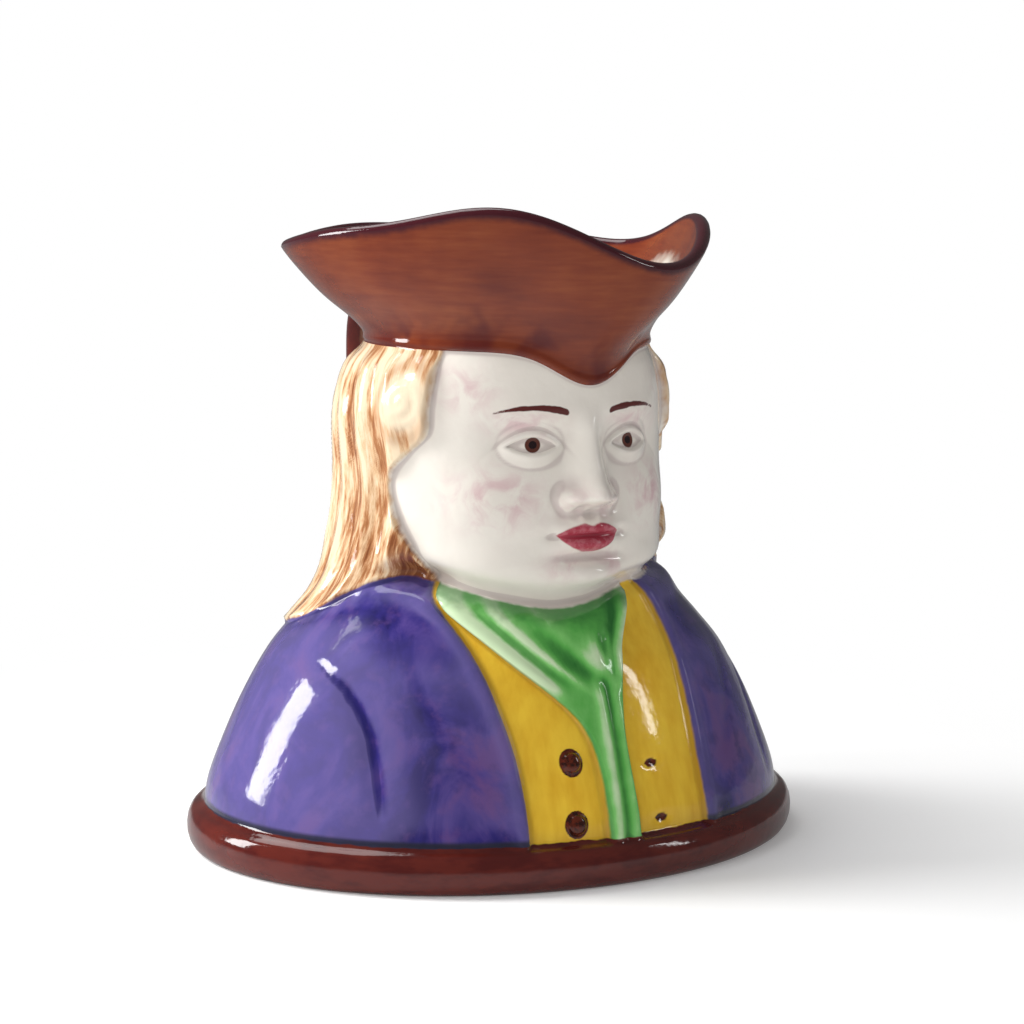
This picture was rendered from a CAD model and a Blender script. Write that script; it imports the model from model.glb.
# Toby jug: the modelled bust, its hat and strap handle, the painted glaze, and the table it stands on.
# Shapes are drawn in millimetres about the middle of the foot. A turn is an angle round the jug in
# degrees: 0 is the front, plus is towards the figure's left, 180 is the back.
import bmesh
import bpy
import math
import numpy as np
from mathutils import Matrix, Vector, kdtree
from mathutils.bvhtree import BVHTree


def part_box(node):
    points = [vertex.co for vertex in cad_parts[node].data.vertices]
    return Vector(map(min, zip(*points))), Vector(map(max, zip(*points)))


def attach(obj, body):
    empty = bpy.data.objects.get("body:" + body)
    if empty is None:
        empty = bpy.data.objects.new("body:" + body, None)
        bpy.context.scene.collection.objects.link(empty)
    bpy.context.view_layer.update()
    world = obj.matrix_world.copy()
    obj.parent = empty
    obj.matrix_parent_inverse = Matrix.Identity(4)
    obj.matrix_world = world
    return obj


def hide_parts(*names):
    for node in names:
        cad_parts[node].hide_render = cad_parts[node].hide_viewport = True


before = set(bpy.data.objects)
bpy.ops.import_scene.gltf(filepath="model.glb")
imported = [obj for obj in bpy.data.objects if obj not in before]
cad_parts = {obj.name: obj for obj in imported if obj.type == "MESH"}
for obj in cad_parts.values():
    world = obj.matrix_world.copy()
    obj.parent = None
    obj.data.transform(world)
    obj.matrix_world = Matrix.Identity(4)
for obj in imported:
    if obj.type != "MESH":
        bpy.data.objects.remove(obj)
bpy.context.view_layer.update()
low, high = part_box("jug")
mm = 0.001
print("frame loaded")

foot = {
    "halfWidth": (high.x - low.x) / 2 / mm, "halfDepth": 61.2, "height": 9.4, "bulge": 2.6,
    "standWidth": 6.0, "recess": 1.8,
}
wall = {"thickness": 4.0, "floor": 5.5, "lip": 1.7}
middle = Vector((0, low.y + foot["halfDepth"] * mm, low.z))


def mix(a, b, t):
    return a + (b - a) * t


def fade(start, end, v):
    t = np.clip((v - start) / (end - start), 0, 1)
    return t * t * (3 - 2 * t)


def bell(v, centre, width):
    return np.exp(-((v - centre) / width) ** 2)


def through(*knots):  # a smooth line through a few (position, value) knots
    at, value = np.array(knots, float).T
    last = len(at) - 1

    def curve(v):
        v = np.asarray(v, float)
        i = np.clip(np.searchsorted(at, v, side="right") - 1, 0, last - 1)
        before, after = np.maximum(i - 1, 0), np.minimum(i + 2, last)
        span = at[i + 1] - at[i]
        t = np.clip((v - at[i]) / span, 0, 1)
        slopeA = (value[i + 1] - value[before]) / (at[i + 1] - at[before]) * span
        slopeB = (value[after] - value[i]) / (at[after] - at[i]) * span
        return ((2 * t**3 - 3 * t**2 + 1) * value[i] + (t**3 - 2 * t**2 + t) * slopeA
                + (3 * t**2 - 2 * t**3) * value[i + 1] + (t**3 - t**2) * slopeB)
    return curve


# The bust's level sections by height.
halfWidth = through(
    (9.4, 70.2), (16, 68.8), (25, 65.2), (35, 60.4), (45, 54.2), (52, 48.0), (58, 42.4), (64, 39.2),
    (72, 37.6), (88, 37.2), (100, 37.5), (107, 36.6), (113, 34.6), (117, 32.4), (124, 32.0))
halfDepth = through(
    (9.4, 56.6), (16, 55.6), (25, 53.0), (35, 49.6), (45, 45.6), (52, 41.6), (58, 38.6), (64, 37.2),
    (72, 37.4), (88, 37.8), (100, 37.8), (107, 37.2), (113, 35.6), (117, 33.8), (124, 33.0))
setBack = through((9.4, 0), (88, 0), (100, -0.4), (107, -1.2), (113, -2.2), (117, -3), (124, -3))

# Edges of coat and neckcloth (x by height), of head and dress (height by turn), of hair (turn by height).
coatRight = through((10, -23.8), (28, -24.4), (40, -26.2), (51, -28.3), (62, -31.6))
coatLeft = through((10, 23.8), (20, 22.8), (37, 22.6), (52, 22.0), (58, 20.2), (64, 17.4))
clothRight = through((10, -5), (26, -5.8), (33, -7.4), (38, -10.6), (48, -20.9), (58, -29.4), (62, -31))
clothLeft = through((10, 3), (31, 2), (40, 3.2), (50, 5.8), (57, 9.6), (64, 13.2))
headStart = through(
    (-180, 47), (-135, 49), (-112, 51.5), (-98, 55), (-87, 59.5), (-76, 63.5), (-66, 65.3), (-55, 64.6),
    (-42, 63), (-29, 61), (-12, 59), (0, 59.5), (9, 61), (18, 62.8), (32, 63.4), (44, 63.8), (55, 64.6),
    (66, 65.3), (76, 63.5), (87, 59.5), (98, 55), (112, 51.5), (135, 49), (180, 47))
hairEdge = through(
    (59, 47), (65, 54), (72, 61), (78, 68), (85, 72), (89, 71), (93, 65), (98, 57.5), (104, 57), (117, 58))
# The crease between sleeve and body, as (turn, height), and the mesh column that runs beside it.
sleeve = (
    (48.5, 9), (49.2, 17), (51.8, 25.8), (54.5, 32.3), (59.5, 38), (66, 42.2), (76, 45.6), (89, 47.7),
    (99, 48.4))
sleeveColumn = through((10, 47), (22, 49), (33, 54), (40, 58), (48, 63), (61, 70))


def awayFrom(knots, turn, z):  # how far from a drawn line of (turn, height) knots, in mm over the coat
    arc = 1.05  # mm over the coat for each degree of turn
    nearest = 99.0
    for (turnA, zA), (turnB, zB) in zip(knots, knots[1:]):
        du, dv = (turnB - turnA) * arc, zB - zA
        u, v = (turn - turnA) * arc, z - zA
        t = np.clip((u * du + v * dv) / (du * du + dv * dv), 0, 1)
        nearest = np.minimum(nearest, np.hypot(u - t * du, v - t * dv))
    return nearest


# The face is a calm one on plain proportions: eyes at half the head's height, a mouth below the nose.
# Lengths across are from the middle of the face, so both sides are alike.
face = {"eyeAcross": 13, "eyeLine": 95.9, "iris": 1.75, "browLine": 103.3, "mouthLine": 75.7}


def eyeOpening(w, z):  # how far inside the lids
    across = 1 - ((w - face["eyeAcross"]) / 5.4) ** 2
    return np.minimum(face["eyeLine"] + 2.1 * across - z, z - face["eyeLine"] + 1.7 * across)


def lipDistance(w, z):  # how far inside the lips
    top = face["mouthLine"] + 3.1 * np.clip(1 - (w / 8.6) ** 2, -1, 1) - 0.7 * bell(w, 0, 1.3)
    bottom = face["mouthLine"] - 3.9 * np.clip(1 - (w / 7.9) ** 2, -1, 1)
    return np.minimum(top - z, z - bottom)


def browDistance(w, z):  # how far inside the painted brow, which thins outwards
    arch = face["browLine"] + 1.3 * (1 - ((w - face["eyeAcross"]) / 8) ** 2)
    pastEnd = np.clip(np.abs(w - face["eyeAcross"] - 0.5) - 7.5, 0, 9)
    return 0.75 - 0.5 * np.clip((w - 10) / 12, 0, 1) - np.hypot(z - arch, pastEnd)


def faceRelief(x, z):
    w = np.abs(x)
    fromEye = w - face["eyeAcross"]
    d = 1.4 * bell(z, 102.5, 3.6) * bell(w, 12, 9) - 2.8 * bell(w, 12, 8) * bell(z, 97, 5)
    d = d + 2.6 * np.clip(1 - (fromEye / 7.6) ** 2 - ((z - 96) / 5.4) ** 2, 0, 1) ** 1.2
    bridge = np.clip((103 - z) / 19, 0, 1)
    d += (mix(1.4, 7.6, bridge ** 1.3) * fade(80.2, 84.8, z) * fade(107, 99, z)
          * bell(w, 0, mix(3, 4.2, bridge)))
    d += 1.3 * bell(w, 0, 4) * bell(z, 85.6, 2.8) + 2.7 * bell(w, 5, 2.2) * bell(z, 84, 2.3)
    d += 2.2 * bell(w, 21, 10) * bell(z, 81, 10) + 1.9 * bell(w, 0, 13) * bell(z, 76, 6)
    d += 1.5 * bell(w, 0, 7.5) * bell(z, 77.6, 1.7) + 1.8 * bell(w, 0, 6.4) * bell(z, 73.4, 1.9)
    d -= 1.4 * bell(w, 0, 6.6) * bell(z, 75.6, 0.7) + 1.3 * bell(w, 0, 8) * bell(z, 70.6, 1.8)
    d += 3.2 * bell(w, 0, 9) * bell(z, 66.4, 3.6) + 2.0 * bell(w, 17, 11) * bell(z, 68.5, 5)
    # Lids, nostrils, the wings' creases, the furrow over the lip and the lips' own edges.
    opening = eyeOpening(w, z)
    near = bell(fromEye, 0, 6.5)
    d -= 0.75 * fade(-0.3, 0.3, opening) - 0.35 * bell(opening, -0.7, 0.7) * near
    d -= 0.55 * bell(z, 99.9 - 0.07 * fromEye ** 2, 0.7) * near
    d -= 0.9 * bell(w, 3.1, 1.2) * bell(z, 82.2, 0.9)
    d -= 0.4 * bell(np.hypot((w - 4.6), (z - 84.4) * 0.9), 3.6, 0.9) * fade(5, 7, w) * fade(89, 86, z)
    d -= 0.5 * bell(w, 0, 1.3) * bell(z, 80.4, 1.7) - 0.25 * bell(w, 2.2, 0.9) * bell(z, 80.2, 1.8)
    d += 0.35 * fade(-0.3, 0.5, lipDistance(w, z))
    d -= 0.5 * bell(w, 8.6, 1.6) * bell(z, 75.7, 1.5)
    return d


# The hair's locks hang in a slow wave from under the hat, with a rolled curl over each temple.
hair = {
    "thickness": 1.5, "underHat": 0.6, "locks": 0.6, "strands": 0.1, "curl": 1.2, "curlTurn": 67,
    "curlHeight": 105,
}


def sweepOf(side, z):
    return side + 9 * np.sin((z - 50) / 17) + 0.12 * (z - 60)


def curlOf(side, z):
    return bell(side, hair["curlTurn"], 9) * bell(z, hair["curlHeight"], 7)


def hairRelief(turn, z):
    side = np.abs(turn)
    sweep = sweepOf(side, z)
    locks = hair["locks"] * np.sin(sweep * 0.42) * mix(0.5, 1, fade(150, 105, side))
    curl = curlOf(side, z)
    wave = sweep + 1.6 * np.sin(z / 6 + turn / 23) + 0.8 * np.sin(z / 2.9 + turn / 9)
    strands = np.sin(wave * 0.97) + 0.6 * np.sin(wave * 1.83 + 1)
    # The curl's rolled locks turn about its middle.
    u, v = (side - hair["curlTurn"]) * 0.62, z - hair["curlHeight"]
    spiral = np.cos(2.1 * np.hypot(u, v) - np.arctan2(v, u))
    fine = mix(strands * hair["strands"], 0.1 * spiral, fade(0.2, 0.6, curl))
    lift = hair["thickness"] + 1.4 * fade(86, 66, z) + locks * (1 - curl) + hair["curl"] * curl + fine
    return mix(hair["underHat"], lift, fade(0, 6, hatEdge(turn) - z))


buttonhole = {"halfLength": 2.3, "halfWidth": 0.9, "places": ((8.9, 25.0), (10.0, 13.0))}
dress = {"coat": 1.7, "cloth": 2.0, "edge": 0.5, "crease": 0.9, "fold": 0.2}


def clothRelief(x, z):
    # Folds run down from the figure's right to the knot, a flap from its left, and one long end hangs.
    slope = fade(40, 47, z)
    low, high = clothRight(z), clothLeft(z)
    rise = (x - low) * 0.72
    fold = (0.95 * bell(rise, 1.7, 1.3) - 0.3 * bell(rise, 4.1, 1.3) + 0.6 * bell(rise, 6.6, 0.8)
            - 0.4 * bell(rise, 9.6, 2.2) + 0.3 * bell(rise, 12.6, 1.3))
    flap = 0.9 * bell(high - x, 1.2, 1.1) - 0.6 * bell(high - x, 4.0, 1.6)
    folds = mix(fold, flap, fade(1.5, 5.5, x - 0.12 * (z - 52)))
    knot = 1.1 * bell(x, -0.4, 3.4) * bell(z, 50.2, 3.8) - 0.9 * bell(x, 0.6, 1.4) * bell(z, 51.0, 2.8)
    hanging = 0.55 * bell(x, -3.2, 1.4) - 0.35 * bell(x, -0.9, 0.9) + 0.3 * bell(x, 1.2, 1.1)
    return dress["cloth"] + mix(hanging, folds, slope) + knot * fade(44, 47, z)


def dressRelief(turn, x, z):
    edge = dress["edge"]
    intoCoat = np.maximum(coatRight(z) - x, x - coatLeft(z))
    across = np.minimum(x - clothRight(z), clothLeft(z) - x)
    d = dress["coat"] * fade(-edge, edge, intoCoat) + 0.35 * bell(intoCoat, 1.6, 1.4)
    d = np.maximum(d, fade(-edge, edge, across) * clothRelief(x, z))
    for x0, z0 in buttonhole["places"]:
        d -= 0.5 * bell(x, x0, buttonhole["halfLength"]) * bell(z, z0, buttonhole["halfWidth"])
    crease = bell(awayFrom(sleeve, np.abs(turn), z), 0, 1.5)
    d -= dress["crease"] * crease * fade(12, 24, z) * fade(97, 60, np.abs(turn))
    # A slack fold runs down from each shoulder towards the coat's front edge.
    slack = np.abs(turn) - mix(30, 50, np.clip((z - 24) / 24.5, 0, 1))
    d -= dress["fold"] * bell(slack, 0, 2.4) * fade(20, 30, z) * fade(52, 44, z)
    return d


def neckPinch(turn):
    away = np.abs(turn)
    return (2.8 + 3.6 * bell(away, 57, 13)) * fade(82, 66, away)


def frontX(turn, z):  # stays at its widest behind the sides
    return halfWidth(z) * np.sin(np.radians(np.clip(turn, -90, 90)))


def relief(turn, z):
    x = frontX(turn, z)
    away = np.abs(turn)
    inHair = fade(-1.1, 1.1, away - hairEdge(z))
    head = mix(faceRelief(x, z) * fade(70, 50, away), hairRelief(turn, z), inHair)
    aboveDress = fade(-0.7, 0.7, z - headStart(turn))
    pinch = -neckPinch(turn) * bell(z, headStart(turn) + 0.9, 2.8)
    return mix(dressRelief(turn, x, z), head, aboveDress) + pinch


def bustPoint(turn, z, stand=None):
    angle = np.radians(turn)
    a, b = halfWidth(z), halfDepth(z)
    outX, outY = np.sin(angle) / a, -np.cos(angle) / b
    size = np.hypot(outX, outY)
    d = relief(turn, z) if stand is None else stand
    return np.stack([
        a * np.sin(angle) + outX / size * d, setBack(z) - b * np.cos(angle) + outY / size * d,
        z + 0 * angle], -1)


# The hat's lower edge dips over the forehead. Its rim is a sum of waves, (cosine, sine) of 0, 1, 2... turns.
def hatEdge(turn):
    return 117 - 7.4 * bell(turn, 1, 19)


def wave(*terms):
    return lambda turn: sum(
        c * np.cos(k * np.radians(turn)) + s * np.sin(k * np.radians(turn)) for k, (c, s) in enumerate(terms))


crestRadius = wave((46.9, 0), (1.75, -0.4), (0.07, 0.77), (2.28, 0.34), (-0.46, -0.08))
crestHeight = wave(
    (142.88, 0), (0.85, -0.66), (-0.37, -1.36), (-2.68, -1.35), (-0.85, -1.6), (0.17, -1.02), (-0.3, 0))


def brimPoint(turn, share, out):  # at a share of the way up the brim, moved outwards by so much
    angle = np.radians(turn)
    edge = hatEdge(turn)
    flare = 1 - (1 - share) ** 1.12 - 0.08 * bell(share, 0.2, 0.2)
    nearX = halfWidth(edge) * np.sin(angle)
    nearY = setBack(edge) - halfDepth(edge) * np.cos(angle)
    reach = crestRadius(turn) + wall["lip"]
    x = mix(reach * np.sin(angle), nearX, 1 - flare)
    y = mix(-reach * np.cos(angle), nearY, 1 - flare)
    grow = 1 + out / np.hypot(x, y)
    z = mix(edge, crestHeight(turn) - wall["lip"], share)
    return np.stack([x * grow, y * grow, z + 0 * grow], -1)


# The mesh's columns run from the back round to the back, along the crisp edges; its rows go up from the foot.
columns = {"back": 53, "side": 26, "cheek": 64, "middle": 26, "edge": 4}
rows = {"band": 9, "dress": 88, "head": 118, "hat": 32, "lip": 7, "innerHat": 12, "inner": 36}
zones = ("back", "edge", "side", "edge", "cheek", "edge", "middle")
zoneCounts = [columns[name] for name in zones + zones[-2::-1]]
zoneOf = np.repeat(np.arange(len(zoneCounts)), zoneCounts)
shareOf = np.concatenate([np.arange(count) / count for count in zoneCounts])
total = len(zoneOf)
edgeHalf = (2.8, 1, 0.9, 0.9, 1, 2.8)  # degrees kept on both sides of each edge


def turnOf(x, z):
    return np.degrees(np.arcsin(x / halfWidth(z)))


def dressMarks(z):
    clothR = turnOf(clothRight(z), z)
    coatR = np.minimum(turnOf(coatRight(z), z), clothR - 3.5)
    side = sleeveColumn(z)
    return [-side, coatR, clothR, turnOf(clothLeft(z), z), turnOf(coatLeft(z), z), side]


def headMarks(z):
    edge = hairEdge(z)
    nose = np.full_like(edge, 9.0)
    return [-edge - 26, -edge, -nose, nose, edge, edge + 26]


def spread(marks):
    stops = [np.full_like(marks[0], -180.0)]
    for mark, half in zip(marks, edgeHalf):
        stops += [mark - half, mark + half]
    stops = np.stack(stops + [np.full_like(marks[0], 180.0)])
    r, c = np.indices(marks[0].shape)
    return mix(stops[zoneOf[c], r, c], stops[zoneOf[c] + 1, r, c], shareOf[c])


def dressTurns(z):
    return spread(dressMarks(np.minimum(z, 61)))


def settle(turnsAt, heightAt, count):
    turn = np.tile(np.linspace(-180, 180, total), (count, 1))
    for _ in range(9):
        turn = turnsAt(heightAt(turn))
    return turn, heightAt(turn)


def footRing(inset, z, turn):
    angle = np.radians(turn)
    return np.stack([
        (foot["halfWidth"] - inset) * np.sin(angle), -(foot["halfDepth"] - inset) * np.cos(angle),
        z + 0 * angle], -1)


rings, notes = [], []  # rings of points in order along the skin, and each point's (part, turn, height)
under, bust, hat, lipPart, insidePart, strapPart, buttonPart = range(7)


def addRings(points, part, turn, z):
    note = [np.broadcast_to(value, points.shape[:2]) for value in (float(part), turn, z)]
    rings.extend(points)
    notes.extend(np.stack(note, -1))


def columnOf(values):
    return np.array(values, float)[:, None]


ground = dressTurns(np.full((1, total), foot["height"]))
for inset, z in ((foot["bulge"] + foot["standWidth"] + 2, foot["recess"]),
                 (foot["bulge"] + foot["standWidth"], 0.0), (foot["bulge"], 0.0)):
    addRings(footRing(inset, z, ground), under, ground, z)
swing = (columnOf(np.linspace(0.12, 2, rows["band"])) - 1) * math.pi / 2
bandZ = foot["height"] * 0.5 * (1 + np.sin(swing))
addRings(footRing(foot["bulge"] * (1 - np.cos(swing)), bandZ, ground), under, ground, bandZ)

v = columnOf(np.linspace(0, 1, rows["dress"]))
turn, z = settle(dressTurns, lambda t: mix(foot["height"] + 0.8, headStart(t) - 0.8, v), rows["dress"])
addRings(bustPoint(turn, z), bust, turn, z)

v = columnOf(np.linspace(0, 1, rows["head"]))
loose = fade(0, 0.14, v)
turn, z = settle(
    lambda z: mix(dressTurns(z), spread(headMarks(z)), loose),
    lambda t: mix(headStart(t) + 0.1, hatEdge(t) - 0.3, v), rows["head"])
addRings(bustPoint(turn, z), bust, turn, z)

hatTurn = spread(headMarks(np.full((1, total), 117.0)))
share = columnOf(np.linspace(0.0, 1, rows["hat"]) ** 1.25)
overhang = 1.1 * bell(share, 0.015, 0.05)
addRings(brimPoint(hatTurn, share, overhang), hat, hatTurn, share)
swing = columnOf(np.linspace(0, 1, rows["lip"] + 2)[1:-1]) * math.pi
lip = brimPoint(hatTurn, 1.0, wall["lip"] * (np.cos(swing) - 1))
lip[..., 2] += wall["lip"] * np.sin(swing)
addRings(lip, lipPart, hatTurn, 1.0)

insideTurn = hatTurn[:, ::2]
share = columnOf(np.linspace(1, 0.05, rows["innerHat"]))
inner = [brimPoint(insideTurn, share, -mix(wall["thickness"] + 0.8, 2 * wall["lip"], share))]
z = columnOf(np.linspace(113, 11, rows["inner"]))
inset = wall["thickness"] + np.maximum(0, neckPinch(insideTurn) - 1) * bell(z, 64, 6)
angle = np.radians(insideTurn)
inner.append(np.stack([
    (halfWidth(z) - inset) * np.sin(angle), setBack(z) - (halfDepth(z) - inset) * np.cos(angle),
    z + 0 * angle], -1))
for inset, lift in ((11, 1.2), (13, 0.3), (15, 0), (40, 0)):
    inner.append(footRing(inset, wall["floor"] + lift, insideTurn))
for points in inner:
    addRings(points, insidePart, insideTurn, 0.0)


def meshOf(name, points, faces):
    mesh = bpy.data.meshes.new(name)
    mesh.from_pydata((np.asarray(points) * mm + np.array(middle)).tolist(), [], faces)
    mesh.update()
    return mesh


def skinFaces(sizes):  # between rings that run the same way; a ring may have half the points of the last
    faces, start = [], 0
    for count, nextCount in zip(sizes[:-1], sizes[1:]):
        up = start + count
        if count == nextCount:
            for i in range(count):
                j = (i + 1) % count
                faces.append((start + i, start + j, up + j, up + i))
        else:
            for i in range(nextCount):
                j, a, b, c = (i + 1) % nextCount, 2 * i, 2 * i + 1, (2 * i + 2) % count
                faces.append((start + a, start + b, up + i))
                faces.append((start + b, start + c, up + j, up + i))
        start = up
    return faces


def closeEnds(points, faces, sizes):
    first, last = list(range(sizes[0])), list(range(len(points) - sizes[-1], len(points)))
    for ring, flip in ((first, True), (last, False)):
        centre = len(points)
        points.append(np.mean([points[i] for i in ring], 0))
        for i, j in zip(ring, ring[1:] + ring[:1]):
            faces.append((centre, j, i) if flip else (centre, i, j))


sizes = [len(ring) for ring in rings]
points = [point for ring in rings for point in ring]
faces = skinFaces(sizes)
closeEnds(points, faces, sizes)
note = np.concatenate(notes + [[[under, 0, foot["recess"]], [insidePart, 0, 0]]])
bodyMesh = meshOf("body", points, faces)
body = bpy.data.objects.new("body", bodyMesh)
bpy.context.scene.collection.objects.link(body)

firstInside = next(i for i, part in enumerate(notes) if part[0][0] == insidePart)
hollowRings = rings[firstInside:][::-1]
hollowPoints = [point for ring in hollowRings for point in ring]
hollowSizes = [len(ring) for ring in hollowRings]
hollowFaces = skinFaces(hollowSizes)
closeEnds(hollowPoints, hollowFaces, hollowSizes)
hollow = bpy.data.objects.new("hollow", meshOf("hollow", hollowPoints, hollowFaces))
bpy.context.scene.collection.objects.link(hollow)
print(f"body drawn: {len(points)} points")


# Geometry Nodes grow the strap handle along its route and set the buttons on their seats.
def newTree(name, *inputs):
    tree = bpy.data.node_groups.new(name, "GeometryNodeTree")
    tree.interface.new_socket("Geometry", in_out="INPUT", socket_type="NodeSocketGeometry")
    for label, kind in inputs:
        tree.interface.new_socket(label, in_out="INPUT", socket_type="NodeSocket" + kind)
    tree.interface.new_socket("Geometry", in_out="OUTPUT", socket_type="NodeSocketGeometry")
    return tree, tree.nodes.new("NodeGroupInput")


def addNode(tree, kind, settings=None, **links):
    node = tree.nodes.new(kind)
    for key, value in (settings or {}).items():
        setattr(node, key, value)
    for key, value in links.items():
        socket = node.inputs[int(key[2:]) if key[:2] == "in" else key.replace("_", " ")]
        if isinstance(value, bpy.types.NodeSocket):
            tree.links.new(value, socket)
        else:
            socket.default_value = value
    return node


def endTree(tree, geometry, material):
    real = addNode(tree, "GeometryNodeRealizeInstances", in0=geometry)
    painted = addNode(tree, "GeometryNodeSetMaterial", Geometry=real.outputs[0], Material=material)
    out = tree.nodes.new("NodeGroupOutput")
    tree.links.new(painted.outputs[0], out.inputs[0])


def grow(name, seedMesh, tree, **values):
    thing = bpy.data.objects.new(name, seedMesh)
    bpy.context.scene.collection.objects.link(thing)
    grower = thing.modifiers.new(name, "NODES")
    grower.node_group = tree
    for item in tree.interface.items_tree:
        if item.in_out == "INPUT" and item.name.replace(" ", "") in values:
            grower[item.identifier] = values[item.name.replace(" ", "")]
    return settled(thing, name)


def settled(thing, name):
    bpy.context.view_layer.update()
    result = bpy.data.meshes.new_from_object(thing.evaluated_get(bpy.context.evaluated_depsgraph_get()))
    thing.modifiers.clear()
    thing.data = result
    result.name = name
    return thing


def centripetal(knots, steps=12):  # a smooth line through the knots, with so many points between each two
    knots = np.array(knots, float)
    ends = np.concatenate([[2 * knots[0] - knots[1]], knots, [2 * knots[-1] - knots[-2]]])
    line = []
    for p0, p1, p2, p3 in zip(ends, ends[1:], ends[2:], ends[3:]):
        t0, t1, t2 = (math.sqrt(np.linalg.norm(b - a)) for a, b in ((p0, p1), (p1, p2), (p2, p3)))
        slope1 = ((p1 - p0) / t0 - (p2 - p0) / (t0 + t1) + (p2 - p1) / t1) * t1
        slope2 = ((p2 - p1) / t1 - (p3 - p1) / (t1 + t2) + (p3 - p2) / t2) * t1
        for t in np.arange(steps) / steps:
            line.append((2 * t**3 - 3 * t**2 + 1) * p1 + (t**3 - 2 * t**2 + t) * slope1
                        + (3 * t**2 - 2 * t**3) * p2 + (t**3 - t**2) * slope2)
    return np.array(line + [knots[-1]])


glaze = bpy.data.materials.new("paintedGlaze")

strap = {
    "halfWidth": 7.6, "halfThickness": 4.3, "flare": 1.4, "line": 60.9, "corners": 40, "steps": 90,
}
tree, given = newTree(
    "sweepStrap", ("Half Width", "Float"), ("Half Thickness", "Float"), ("Flare", "Float"),
    ("Corners", "Int"), ("Steps", "Int"), ("Material", "Material"))
path = addNode(tree, "GeometryNodeMeshToCurve", Mesh=given.outputs["Geometry"])
path = addNode(tree, "GeometryNodeResampleCurve", Curve=path.outputs[0], Count=given.outputs["Steps"])
upright = addNode(
    tree, "GeometryNodeSetCurveNormal", {"mode": "FREE"}, Curve=path.outputs[0], Normal=(1, 0, 0))
along = addNode(tree, "GeometryNodeSplineParameter").outputs["Factor"]
widths = 0
for centre, width in ((0.0, 0.14), (1.0, 0.17)):
    far = addNode(tree, "ShaderNodeMath", {"operation": "SUBTRACT"}, in0=along, in1=centre)
    far = addNode(tree, "ShaderNodeMath", {"operation": "DIVIDE"}, in0=far.outputs[0], in1=width)
    far = addNode(tree, "ShaderNodeMath", {"operation": "POWER"}, in0=far.outputs[0], in1=2.0)
    far = addNode(tree, "ShaderNodeMath", {"operation": "MULTIPLY"}, in0=far.outputs[0], in1=-1.0)
    near = addNode(tree, "ShaderNodeMath", {"operation": "EXPONENT"}, in0=far.outputs[0])
    widths = addNode(tree, "ShaderNodeMath", {"operation": "ADD"}, in0=widths, in1=near.outputs[0])
    widths = widths.outputs[0]
extra = addNode(tree, "ShaderNodeMath", {"operation": "MULTIPLY"}, in0=widths, in1=given.outputs["Flare"])
scale = addNode(tree, "ShaderNodeMath", {"operation": "ADD"}, in0=extra.outputs[0], in1=1.0)
ring = addNode(tree, "GeometryNodeCurvePrimitiveCircle", Resolution=given.outputs["Corners"], Radius=1.0)
size = addNode(
    tree, "ShaderNodeCombineXYZ", X=given.outputs["Half Width"], Y=given.outputs["Half Thickness"], Z=1.0)
ring = addNode(tree, "GeometryNodeTransform", Geometry=ring.outputs[0], Scale=size.outputs[0])
tube = addNode(
    tree, "GeometryNodeCurveToMesh", Curve=upright.outputs[0], Profile_Curve=ring.outputs[0],
    Scale=scale.outputs[0], Fill_Caps=True)
endTree(tree, tube.outputs[0], given.outputs["Material"])

line = strap["line"]
route = centripetal([
    (0, 34, 131), (0, 43, 131.8), (0, 54, 128.2), (0, line - 0.8, 118.5), (0, line, 106),
    (0, line - 0.4, 90), (0, line - 3.4, 77), (0, line - 11, 66), (0, 40, 57), (0, 33, 52)])
routeMesh = bpy.data.meshes.new("route")
links = [(i, i + 1) for i in range(len(route) - 1)]
routeMesh.from_pydata((route * mm + np.array(middle)).tolist(), links, [])
handle = grow(
    "handle", routeMesh, tree, HalfWidth=strap["halfWidth"] * mm, HalfThickness=strap["halfThickness"] * mm,
    Flare=strap["flare"] - 1, Corners=strap["corners"], Steps=strap["steps"], Material=glaze)

button = {"radius": 2.45, "rise": 1.3, "places": ((-12.0, 27.0), (-12.6, 13.8))}
tree, given = newTree("setButtons", ("Radius", "Float"), ("Rise", "Float"), ("Material", "Material"))
ball = addNode(tree, "GeometryNodeMeshUVSphere", Segments=40, Rings=24, Radius=1.0)
size = addNode(
    tree, "ShaderNodeCombineXYZ", X=given.outputs["Radius"], Y=given.outputs["Radius"],
    Z=given.outputs["Rise"])
outward = addNode(tree, "GeometryNodeInputNamedAttribute", {"data_type": "FLOAT_VECTOR"}, Name="outward")
facing = addNode(tree, "FunctionNodeAlignRotationToVector", {"axis": "Z"}, Vector=outward.outputs[0])
domes = addNode(
    tree, "GeometryNodeInstanceOnPoints", Points=given.outputs["Geometry"], Instance=ball.outputs[0],
    Rotation=facing.outputs[0], Scale=size.outputs[0])
endTree(tree, domes.outputs[0], given.outputs["Material"])
seats, outwards = [], []
for x, z in button["places"]:
    turn, z = np.array(float(turnOf(x, z))), np.array(z)
    seat = bustPoint(turn, z)
    seats.append(seat)
    outwards.append(np.cross(bustPoint(turn + 1, z) - seat, bustPoint(turn, z + 1) - seat))
seatMesh = meshOf("seats", seats, [])
seatMesh.attributes.new("outward", "FLOAT_VECTOR", "POINT").data.foreach_set("vector", np.ravel(outwards))
buttons = grow(
    "buttons", seatMesh, tree, Radius=button["radius"] * mm, Rise=button["rise"] * mm, Material=glaze)
print("handle and buttons grown")


# It is one fired piece, so all is joined and the joints are softened as the slip would be.
def pointsOf(mesh):
    flat = np.zeros(len(mesh.vertices) * 3)
    mesh.vertices.foreach_get("co", flat)
    return flat.reshape(-1, 3)


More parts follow.
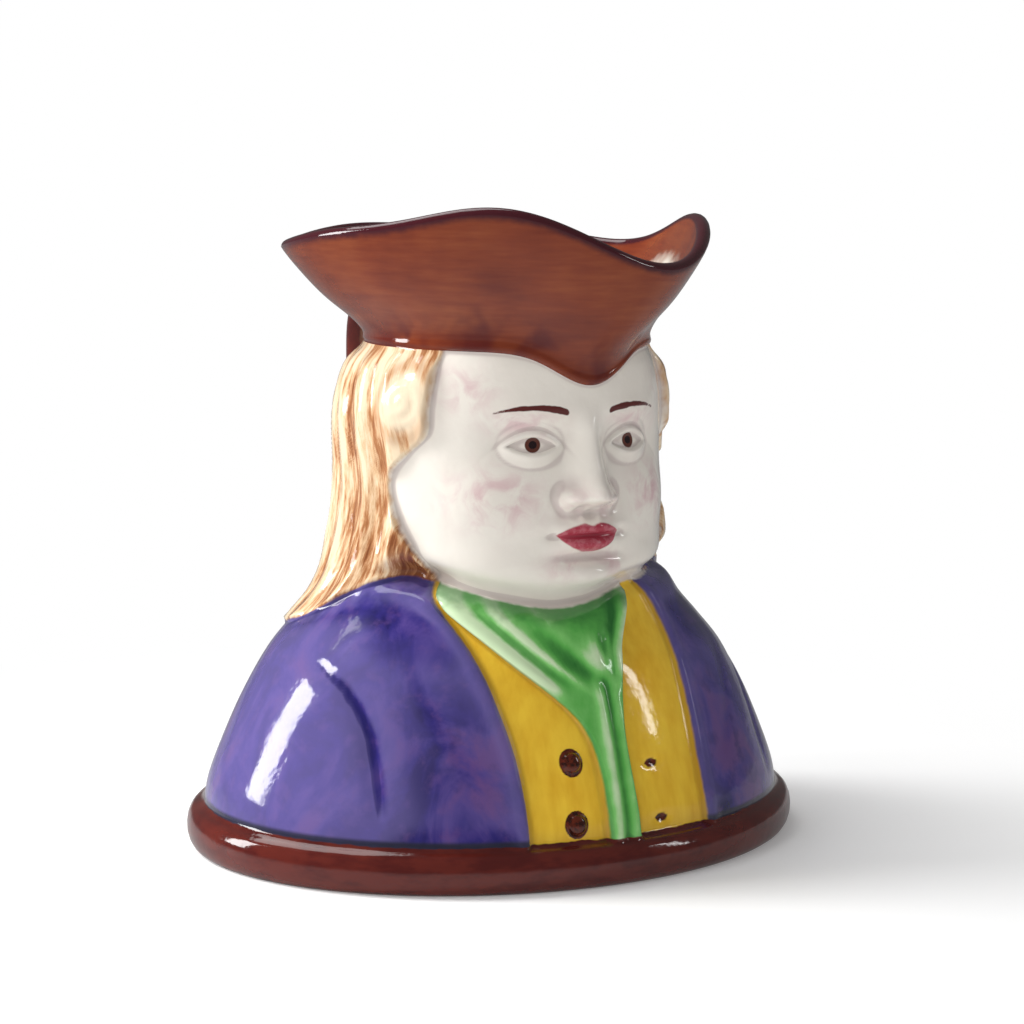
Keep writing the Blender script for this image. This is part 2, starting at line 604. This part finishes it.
def treeOf(points):
    tree = kdtree.KDTree(len(points))
    for i, point in enumerate(points):
        tree.insert(point, i)
    tree.balance()
    return tree


def combine(thing, other, operation):
    cutter = thing.modifiers.new("join", "BOOLEAN")
    cutter.object, cutter.operation, cutter.solver = other, operation, "MANIFOLD"
    return settled(thing, thing.name)


fillet = {"strap": 3.0, "button": 1.2, "passes": 16, "merge": 0.12}
fresh = 2e-6  # metres from any drawn point beyond which a point comes from a joint
cavity = BVHTree.FromObject(hollow, bpy.context.evaluated_depsgraph_get())
combine(handle, hollow, "DIFFERENCE")
sources = [(body, note), (handle, (strapPart, 0, 0)), (buttons, (buttonPart, 0, 0))]
known = treeOf(np.concatenate([pointsOf(thing.data) for thing, _ in sources]))
knownNote = np.concatenate([
    np.broadcast_to(values, (len(thing.data.vertices), 3)) for thing, values in sources])
jug = combine(combine(body, handle, "UNION"), buttons, "UNION")
jug.name = "jug_body"
for spare in (handle, hollow, buttons):
    bpy.data.objects.remove(spare)

seamMesh = bmesh.new()
seamMesh.from_mesh(jug.data)
onSeam = [vert for vert in seamMesh.verts if known.find(vert.co)[2] > fresh]
beside = {edge.other_vert(vert) for vert in onSeam for edge in vert.link_edges}
bmesh.ops.remove_doubles(seamMesh, verts=list(beside.union(onSeam)), dist=fillet["merge"] * mm)
seamMesh.to_mesh(jug.data)
seamMesh.free()
points = pointsOf(jug.data)
found = [known.find(point) for point in points]
match = np.array([index for _, index, _ in found])
seam = np.array([distance for _, _, distance in found]) > fresh
part, turn, z = knownNote[match].T
place = (points - np.array(middle)) / mm
isButton = part == buttonPart  # a button carries on from the waistcoat's own turns and heights
part[isButton], turn[isButton] = bust, turnOf(place[isButton, 0], place[isButton, 2])
z[isButton] = place[isButton, 2]
for i in np.flatnonzero(seam | (part == strapPart)):  # where the handle's root shows inside the jug
    if cavity.find_nearest(points[i])[3] < fresh:
        part[i] = insidePart


def distanceTo(chosen):
    near = treeOf(points[chosen])
    return np.array([near.find(point)[2] for point in points]) / mm


atFront = points[:, 1] < middle.y
seamFar, buttonFar = distanceTo(seam & ~atFront), distanceTo(seam & atFront)
print(f"joined: {len(points)} points, {int(seam.sum())} on the joints")

edges = np.array([edge.vertices[:] for edge in jug.data.edges])
soften = np.maximum(fade(fillet["strap"], 0.4, seamFar), fade(fillet["button"], 0.2, buttonFar))
soften = soften * (part != insidePart)
degree = np.maximum(np.bincount(edges.ravel(), minlength=len(points)), 1)[:, None]


def neighbourMean(values):
    total = np.zeros_like(values)
    np.add.at(total, edges[:, 0], values[edges[:, 1]])
    np.add.at(total, edges[:, 1], values[edges[:, 0]])
    return total / degree


for _ in range(fillet["passes"]):
    points = mix(points, neighbourMean(points), 0.6 * soften[:, None])
jug.data.vertices.foreach_set("co", points.ravel())
jug.data.update()

# How far each point lies below (plus) or above (minus) the smoothed surface round it, in mm.
normals = np.zeros(len(points) * 3)
jug.data.vertices.foreach_get("normal", normals)
normals = normals.reshape(-1, 3)


def hollowness(passes):
    smooth = points.copy()
    for _ in range(passes):
        smooth = neighbourMean(smooth)
    return np.sum((smooth - points) * normals, 1) / mm


def onBust(values, below, above):
    return np.where(part == bust, values, np.where((part == under), below, above))


x = frontX(turn, z)
w = np.abs(x)
place = (points - np.array(middle)) / mm
crest = crestHeight(np.degrees(np.arctan2(place[:, 0], -place[:, 1])))
joint = np.where(part >= strapPart, seamFar, -seamFar)
sweep = np.radians(np.sign(turn) * sweepOf(np.abs(turn), z))
front = fade(75, 60, np.abs(turn)) * (part == bust)
onDress = part == bust
spots = [button["radius"] + 0.45 - np.hypot(x - x0, z - z0) for x0, z0 in button["places"]]
spots += [1 - np.hypot((x - x0) / 2.1, (z - z0) / 0.9) for x0, z0 in buttonhole["places"]]
paleFold = 0.45 * fade(-7, -18, x) - 0.35 * bell(x, 1, 5) * bell(z, 53, 6)
# Washes on the cheeks, over the eyes, the nose, the chin and the temples.
blushes = (
    (1, 20, 8, 84, 6), (0.8, 15, 8, 101, 3), (0.7, 4, 4, 83, 4), (0.7, 6, 5, 69, 3), (0.7, 26, 5, 108, 5))
attributes = {
    "headLine": onBust(z - headStart(turn), -50, 50),
    "hatLine": onBust(z - hatEdge(turn), -50, 50),
    "hairLine": onBust((np.abs(turn) - hairEdge(z)) * 0.65, -50, -50),
    "coatLine": onBust(np.maximum(coatRight(z) - x, x - coatLeft(z)), -50, 50),
    "clothLine": onBust(np.minimum(x - clothRight(z), clothLeft(z) - x), -50, -50),
    "footLine": foot["height"] + 0.9 - place[:, 2],
    "rimDrop": crest - place[:, 2],
    "inside": part == insidePart,
    "strapLine": np.where(part >= bust, np.clip(joint, -9, 9), -9),
    "darkSpot": np.maximum(isButton * 2.0, onBust(np.max(spots, 0), -9, -9)),
    "folds": onBust(clothRelief(x, z) - dress["cloth"] + paleFold, 0, 0),
    "curl": curlOf(np.abs(turn), z) * onDress,
    "underJaw": bell(np.abs(turn), 60, 17) * bell(z - headStart(turn), 4, 9) * onDress,
    "deep": hollowness(6),
    "broad": hollowness(60),
    "lips": np.where(front > 0.5, lipDistance(w, z), -9),
    "brows": np.where(front > 0.5, browDistance(w, z), -9),
    "iris": np.where(
        front > 0.5, face["iris"] - np.hypot(w - face["eyeAcross"], z - face["eyeLine"] - 0.3), -9),
    "eyes": np.where(front > 0.5, eyeOpening(w, z), -9),
    "blush": front * np.max([
        strength * bell(w, across, width) * bell(z, height, tall)
        for strength, across, width, height, tall in blushes], 0),
}
for name, values in attributes.items():
    jug.data.attributes.new(name, "FLOAT", "POINT").data.foreach_set("value", np.asarray(values, np.float32))
combed = np.stack([38 * np.sin(sweep), -38 * np.cos(sweep), z * 0.1], -1)
combing = jug.data.attributes.new("combed", "FLOAT_VECTOR", "POINT")
combing.data.foreach_set("vector", np.float32(combed).ravel())
jug.data.shade_smooth()
print("paint lines noted")


# Paint pots as red, green and blue of 255, and how the painter lays them on.
paint = {
    "coat": ((30, 25, 84), (48, 40, 116), (78, 62, 132), (102, 70, 128)),
    "coatThin": (114, 104, 162),
    "waistcoat": ((250, 206, 62), (234, 180, 44)), "waistcoatEdge": (150, 108, 34),
    "cloth": ((42, 110, 46), (92, 176, 80), (130, 204, 112), (212, 236, 192)),
    "face": ((246, 240, 230), (234, 226, 215)), "blush": (208, 158, 168),
    "faceDeep": (180, 160, 158),
    "lips": ((168, 56, 72), (190, 100, 112)), "brows": (92, 40, 38),
    "iris": ((92, 50, 40), (34, 18, 20)),
    "hair": ((238, 216, 184), (226, 190, 150), (176, 120, 78), (128, 74, 44)), "curl": (236, 218, 190),
    "hat": ((106, 42, 26), (124, 54, 30), (140, 70, 38)), "hatLow": (78, 20, 24), "rim": (66, 22, 30),
    "foot": ((94, 34, 27), (78, 25, 22)), "groove": (38, 40, 48), "strap": ((104, 40, 28), (72, 24, 22)),
    "inside": ((248, 244, 234), (240, 232, 214)), "spot": ((94, 35, 18), (48, 16, 9)),
}


def fromPaint(red, green, blue):
    return [((c / 255 + 0.055) / 1.055) ** 2.4 if c > 10 else c / 3295 for c in (red, green, blue)] + [1]


glaze.use_nodes = True
tree = glaze.node_tree
shader = tree.nodes["Principled BSDF"]


def noted(name):
    return addNode(tree, "ShaderNodeAttribute", {"attribute_name": name}).outputs["Fac"]


def doMath(operation, a, b=0.0, c=0.0):
    return addNode(tree, "ShaderNodeMath", {"operation": operation}, in0=a, in1=b, in2=c).outputs[0]


def stepUp(value, start, end, smooth=True):
    kind = "SMOOTHSTEP" if smooth else "LINEAR"
    return addNode(
        tree, "ShaderNodeMapRange", {"interpolation_type": kind},
        in0=value, in1=start, in2=end, in3=0.0, in4=1.0).outputs[0]


def blotches(size, detail=3.0, vector=None, stretch=(1, 1, 1), rough=0.55, twist=0.0, seed=0.0):
    place = addNode(
        tree, "ShaderNodeMapping", Vector=vector or spot, Scale=[s / size for s in stretch],
        Location=(seed, seed * 1.7, seed * 0.6))
    return addNode(
        tree, "ShaderNodeTexNoise", Vector=place.outputs[0], Scale=1.0, Detail=detail, Roughness=rough,
        Distortion=twist).outputs["Fac"]


def tint(name, index=None):
    return fromPaint(*(paint[name] if index is None else paint[name][index]))


def shades(name, value, stops):
    ramp = addNode(tree, "ShaderNodeValToRGB", in0=value)
    elements = ramp.color_ramp.elements
    for i, stop in enumerate(stops):
        element = elements[i] if i < 2 else elements.new(stop)
        element.position, element.color = stop, tint(name, i)
    return ramp.outputs["Color"]


def over(mask, below, above):
    node = addNode(tree, "ShaderNodeMix", {"data_type": "RGBA"}, in0=mask, in6=below, in7=above)
    return node.outputs[2]


def laid(strength, mask, below, above):
    return over(doMath("MULTIPLY", mask, strength), below, above)


def unsteady(line, swing):  # the distance to a painted line, as an unsteady hand draws it
    return doMath("MULTIPLY_ADD", waver, swing, noted(line))


def painted(line, soft=0.35, swing=0.5):
    return stepUp(unsteady(line, swing), -soft, soft)


# Object coordinates in millimetres.
spot = addNode(
    tree, "ShaderNodeMapping", Vector=addNode(tree, "ShaderNodeTexCoord").outputs["Object"],
    Scale=(1 / mm,) * 3).outputs[0]
combedAt = addNode(tree, "ShaderNodeAttribute", {"attribute_name": "combed"}).outputs["Vector"]
waver = doMath("SUBTRACT", blotches(3.5, 2.0), 0.5)
deep, broad = noted("deep"), noted("broad")
deepMask, proudMask = stepUp(deep, 0.02, 0.16), stepUp(broad, -0.1, -0.7)

# Coat: blue and violet washes that run into each other, thinner over the edges.
wash = blotches(17, 5.0, twist=0.7, stretch=(1, 1, 0.75), seed=3.1)
coatPaint = shades("coat", wash, (0.4, 0.49, 0.57, 0.66))
coatPaint = laid(0.55, stepUp(blotches(6, 5.0, seed=8.0), 0.48, 0.7), coatPaint, tint("coat", 0))
coatPaint = laid(0.4, stepUp(blotches(4, 5.0, seed=12.0), 0.5, 0.72), coatPaint, tint("coat", 3))
collar = stepUp(unsteady("headLine", 6), -7, 0.5)
coatPaint = laid(0.55, doMath("MAXIMUM", collar, proudMask), coatPaint, tint("coatThin"))
coatPaint = laid(0.6, deepMask, coatPaint, tint("coat", 0))

# Waistcoat: ochre with faint upright brush marks, browner where the glaze pools along its edges.
brushed = blotches(2.6, 4.0, stretch=(1, 1, 0.12), seed=1.0)
ochreTone = doMath("MULTIPLY", doMath("ADD", brushed, blotches(14, 2.0)), 0.5)
waistcoatPaint = shades("waistcoat", ochreTone, (0.4, 0.66))
edgeNear = doMath("MINIMUM", doMath("ABSOLUTE", noted("coatLine")), doMath("ABSOLUTE", noted("clothLine")))
waistcoatPaint = laid(0.55, stepUp(edgeNear, 1.8, 0.2), waistcoatPaint, tint("waistcoatEdge"))

# Neckcloth: green that runs off the ridges and pools in the folds.
height = doMath("MULTIPLY_ADD", blotches(3, 4.0, stretch=(1, 1, 0.5), seed=3.0), 0.5, noted("folds"))
clothPaint = shades("cloth", stepUp(height, -0.45, 1.15, False), (0.12, 0.4, 0.62, 0.86))
clothEdge, underChin = stepUp(noted("clothLine"), 0.9, 0.1), stepUp(unsteady("headLine", 3), -4.5, -0.6)
for strength, mask in ((0.5, clothEdge), (0.75, underChin), (0.4, deepMask)):
    clothPaint = laid(strength, mask, clothPaint, tint("cloth", 0))

# Face: ivory with thin mauve-pink washes.
facePaint = over(blotches(11, 3.0, seed=5.0), tint("face", 0), tint("face", 1))
rosy = doMath("MULTIPLY", noted("blush"), stepUp(blotches(6, 5.0, twist=0.8, seed=2.0), 0.36, 0.68))
facePaint = laid(0.75, rosy, facePaint, tint("blush"))
facePaint = laid(0.42, deepMask, facePaint, tint("faceDeep"))
lipPaint = over(stepUp(blotches(1.6, 3.0, seed=9.0), 0.35, 0.65), tint("lips", 0), tint("lips", 1))
lipEdge = stepUp(unsteady("lips", 0.6), -0.1, 0.35)
facePaint = over(lipEdge, facePaint, over(deepMask, lipPaint, tint("lips", 0)))
facePaint = over(stepUp(unsteady("brows", 0.8), -0.1, 0.2), facePaint, tint("brows"))
irisPaint = over(stepUp(noted("iris"), 0.75, 0.95), tint("iris", 0), tint("iris", 1))
irisMask = doMath("MULTIPLY", stepUp(noted("iris"), -0.1, 0.12), stepUp(noted("eyes"), -0.15, 0.15))
facePaint = over(irisMask, facePaint, irisPaint)

# Hair: cream, with brown strokes drawn along the locks.
strokes = blotches(1.25, 5.0, vector=combedAt, stretch=(1, 1, 1.5), rough=0.66, seed=4.0)
strokes = doMath("MULTIPLY_ADD", deep, 0.4, strokes)
patch = blotches(9, 4.0, vector=combedAt, stretch=(1, 1, 4), seed=7.0)
strokes = doMath("ADD", strokes, doMath("MULTIPLY", doMath("SUBTRACT", patch, 0.46), 0.9))
strokes = doMath("MULTIPLY_ADD", stepUp(noted("headLine"), 17, 3), 0.07, strokes)
strokes = doMath("MULTIPLY_ADD", noted("underJaw"), 0.12, strokes)
hairPaint = shades("hair", strokes, (0.42, 0.54, 0.68, 0.84))
curlLine = doMath("MULTIPLY", stepUp(noted("curl"), 0.06, 0.2), stepUp(noted("curl"), 0.5, 0.24))
hairPaint = laid(0.4, curlLine, hairPaint, tint("hair", 2))
hairPaint = laid(0.85, stepUp(noted("curl"), 0.25, 0.6), hairPaint, tint("curl"))

# Hat and inside of the rim: brown, with level brush streaks, darker and redder low at the front.
streaks = blotches(1.5, 3.0, stretch=(0.1, 0.1, 1), seed=6.0, rough=0.6)
hatTone = doMath("MULTIPLY_ADD", streaks, 0.4, doMath("MULTIPLY", blotches(20, 2.0, seed=2.5), 0.6))
hatPaint = shades("hat", hatTone, (0.34, 0.5, 0.68))
pooled = stepUp(blotches(12, 2.0, twist=0.3), 0.4, 0.62)
lowPatch = doMath("MULTIPLY", stepUp(noted("rimDrop"), 14, 27), pooled)
hatPaint = laid(0.75, lowPatch, hatPaint, tint("hatLow"))
rimEdge = stepUp(unsteady("rimDrop", 1.2), 3.4, 1.6)
creamy = over(blotches(9, 3.0), tint("inside", 0), tint("inside", 1))
poured = doMath("MULTIPLY_ADD", blotches(8, 2.0, seed=5.5), 7.0, noted("rimDrop"))
insidePaint = over(stepUp(poured, 11.5, 17.0), hatPaint, creamy)

# Foot, handle and buttons.
band = over(stepUp(blotches(10, 3.0, stretch=(1, 1, 3)), 0.4, 0.65), tint("foot", 0), tint("foot", 1))
strapPatch = stepUp(blotches(9, 4.0, stretch=(1, 1, 0.4)), 0.4, 0.65)
strapPaint = over(strapPatch, tint("strap", 0), tint("strap", 1))
spotPaint = over(stepUp(blotches(1.4, 2.0), 0.4, 0.65), tint("spot", 0), tint("spot", 1))

colour = over(painted("coatLine", 0.2, 0.3), waistcoatPaint, coatPaint)
colour = over(painted("clothLine", 0.25, 0.4), colour, clothPaint)
colour = over(stepUp(noted("darkSpot"), 0.0, 0.25), colour, spotPaint)
grooveMask = doMath("MULTIPLY", stepUp(noted("footLine"), -1.8, -0.8), painted("coatLine", 0.3))
colour = laid(0.85, grooveMask, colour, tint("groove"))
headPaint = over(painted("hairLine", 0.5, 1.4), facePaint, hairPaint)
colour = over(painted("headLine", 0.3, 0.6), colour, headPaint)
colour = over(stepUp(noted("hatLine"), -0.35, 0.0), colour, hatPaint)
colour = over(rimEdge, colour, tint("rim"))
colour = over(painted("strapLine", 0.3, 0.6), colour, strapPaint)
colour = over(painted("footLine", 0.15, 0.8), colour, band)
colour = over(noted("inside"), colour, insidePaint)
tree.links.new(colour, shader.inputs["Base Color"])

shine = stepUp(blotches(22, 3.0, seed=1.3), 0.3, 0.75)
tree.links.new(doMath("MULTIPLY_ADD", shine, 0.06, 0.07), shader.inputs["Roughness"])
shader.inputs["IOR"].default_value = 1.5
shader.inputs["Coat Weight"].default_value = 0.5
shader.inputs["Coat Roughness"].default_value = 0.03
ripple = doMath("MULTIPLY_ADD", blotches(2.4, 3.0), 0.22, doMath("MULTIPLY", blotches(9, 3.0, seed=4.4), 1.6))
onHair = doMath("MULTIPLY", stepUp(noted("hairLine"), 0.0, 1.0), stepUp(noted("headLine"), 0, 1))
ripple = doMath("MULTIPLY_ADD", doMath("MULTIPLY", strokes, onHair), 0.3, ripple)
bump = addNode(tree, "ShaderNodeBump", Strength=0.35, Distance=0.5 * mm, Height=ripple)
tree.links.new(bump.outputs[0], shader.inputs["Normal"])

if not jug.data.materials:
    jug.data.materials.append(glaze)
jug.data.materials[0] = glaze
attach(jug, "root")
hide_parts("jug")
print("glaze painted")

view = {
    "azimuth": -32, "elevation": 7.7, "distance": 650, "across": 3.35, "height": 76.15, "roll": 0.7,
    "lens": 96.43,
}
a, e, roll = (math.radians(view[name]) for name in ("azimuth", "elevation", "roll"))
back = Vector((math.sin(a) * math.cos(e), -math.cos(a) * math.cos(e), math.sin(e)))
right = Vector((math.cos(a), math.sin(a), 0))
up = back.cross(right)
aim = middle + (right * view["across"] + Vector((0, 0, view["height"]))) * mm
cameraData = bpy.data.cameras.new("camera")
cameraData.lens, cameraData.sensor_width = view["lens"], 36
camera = bpy.data.objects.new("camera", cameraData)
bpy.context.scene.collection.objects.link(camera)
sideways = right * math.cos(roll) + up * math.sin(roll)
upwards = up * math.cos(roll) - right * math.sin(roll)
turned = Matrix((sideways, upwards, back)).transposed().to_4x4()
camera.matrix_world = Matrix.Translation(aim + back * view["distance"] * mm) @ turned
bpy.context.scene.camera = camera

# Lamps stand "from" (right of, towards, above) the camera's view of the jug; only some gleam in the glaze.
studio = {
    "key": {"from": (-0.85, -0.05, 0.68), "far": 0.9, "size": (0.35, 0.35), "power": 6.6, "gleam": False},
    "window": {"from": (-0.94, -0.06, 0.3), "far": 0.9, "size": (0.22, 0.42), "power": 3.0, "gleam": True},
    "side": {"from": (0.93, 0.12, 0.4), "far": 1.0, "size": (0.06, 0.35), "power": 0.5, "gleam": True},
    "top": {"from": (-0.4, -0.35, 1.0), "far": 1.1, "size": (0.75, 0.75), "power": 4.2, "gleam": True},
    "front": {"from": (-0.8, 0.75, 0.5), "far": 1.2, "size": (0.8, 0.8), "power": 5.4, "gleam": False},
}
for name, lamp in studio.items():
    data = bpy.data.lights.new(name, "AREA")
    data.shape, data.energy = "RECTANGLE", lamp["power"]
    data.size, data.size_y = lamp["size"]
    towards = (right * lamp["from"][0] + Vector((back.x, back.y, 0)).normalized() * lamp["from"][1]
               + Vector((0, 0, lamp["from"][2]))).normalized()
    light = bpy.data.objects.new(name, data)
    light.visible_glossy = lamp["gleam"]
    light.location = aim + towards * lamp["far"]
    light.rotation_euler = towards.to_track_quat("Z", "Y").to_euler()
    bpy.context.scene.collection.objects.link(light)

world = bpy.data.worlds.new("whiteRoom")
world.use_nodes = True
bpy.context.scene.world = world
tree = world.node_tree
room = tree.nodes["Background"]
# White behind the jug, softly lit all round, and dim in the glaze so that only the lamps shine in it.
rays = addNode(tree, "ShaderNodeLightPath")
strength = doMath("MULTIPLY_ADD", rays.outputs["Is Diffuse Ray"], 0.14, 0.1)
strength = doMath("MAXIMUM", strength, rays.outputs["Is Camera Ray"])
room.inputs["Color"].default_value = (1, 1, 1, 1)
tree.links.new(strength, room.inputs["Strength"])

table = {"radius": 6.0, "clear": 0.07, "white": 0.24}
floorMesh = bpy.data.meshes.new("floor")
circle = [(table["radius"] * math.cos(t), table["radius"] * math.sin(t), 0)
          for t in np.linspace(0, 2 * math.pi, 65)[:-1]]
floorMesh.from_pydata(circle, [], [list(range(64))])
floor = bpy.data.objects.new("floor", floorMesh)
bpy.context.scene.collection.objects.link(floor)
white = bpy.data.materials.new("whiteTable")
white.use_nodes = True
tree = white.node_tree
matt = tree.nodes["Principled BSDF"]
matt.inputs["Roughness"].default_value = 0.6
matt.inputs["Specular IOR Level"].default_value = 0.2
matt.inputs["Emission Color"].default_value = (1, 1, 1, 1)
glossy = addNode(tree, "ShaderNodeLightPath").outputs["Is Glossy Ray"]
tree.links.new(doMath("MULTIPLY_ADD", glossy, -0.06, 0.16), matt.inputs["Emission Strength"])
tree.links.new(doMath("MULTIPLY_ADD", glossy, -0.6, 0.93), matt.inputs["Base Color"])
where = addNode(tree, "ShaderNodeTexCoord").outputs["Object"]
far = addNode(tree, "ShaderNodeVectorMath", {"operation": "LENGTH"}, in0=where).outputs["Value"]
farMask = addNode(
    tree, "ShaderNodeMapRange", {"interpolation_type": "SMOOTHSTEP"},
    in0=far, in1=table["clear"], in2=table["white"], in3=0.0, in4=1.0)
glow = addNode(
    tree, "ShaderNodeEmission", Color=(1, 1, 1, 1), Strength=doMath("MULTIPLY_ADD", glossy, -0.75, 1.0))
blend = addNode(tree, "ShaderNodeMixShader", in0=farMask.outputs[0], in1=matt.outputs[0], in2=glow.outputs[0])
tree.links.new(blend.outputs[0], tree.nodes["Material Output"].inputs["Surface"])
floorMesh.materials.append(white)
bpy.context.scene.view_settings.view_transform = "Standard"

print("scene ready")
